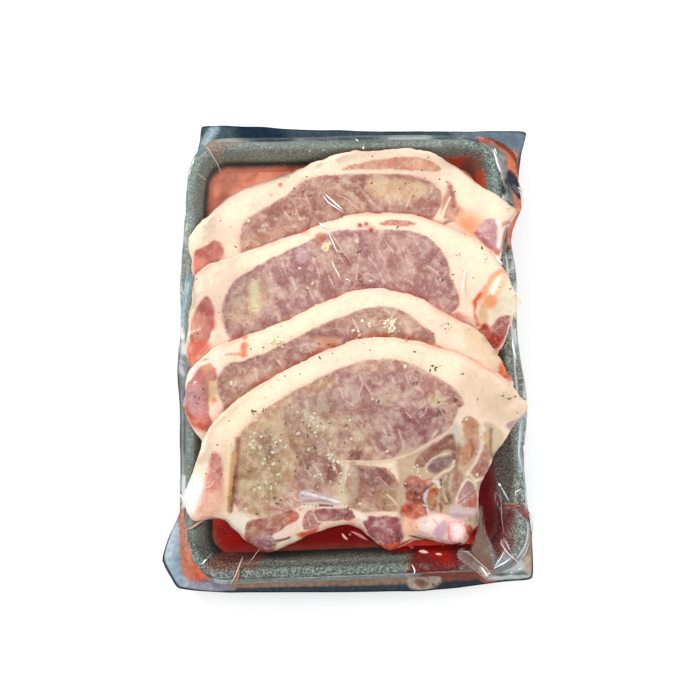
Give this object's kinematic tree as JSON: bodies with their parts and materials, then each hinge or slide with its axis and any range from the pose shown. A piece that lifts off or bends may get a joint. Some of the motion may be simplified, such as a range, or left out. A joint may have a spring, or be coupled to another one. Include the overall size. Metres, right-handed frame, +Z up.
{
  "type": "meat tray pack",
  "caption": "Vacuum-packed foam tray of overlapping seasoned bone-in pork chops with red juice, sealed in a clear bag with folds and flat hems.",
  "frame": {"origin": "middle of the tray's flat base, on the surface it rests on", "axes": "+X to the tray's right as shown, +Y along its length to the far end where the first chop lies, +Z up out of the tray"},
  "size_m": [0.2058, 0.2607, 0.0465],
  "materials": {
    "foam": "charcoal grey expanded foam, matt",
    "pork": "raw pork, moist, with cream fat and mauve lean",
    "juice": "glossy wet deep red",
    "film": "clear glossy film, dark and bluish where it is folded or sealed"
  },
  "bodies": {
    "root": {"tray": "foam", "chop_1": "pork", "chop_2": "pork", "chop_3": "pork", "chop_4": "pork", "juice": "juice", "film": "film"}
  },
  "joints": []
}
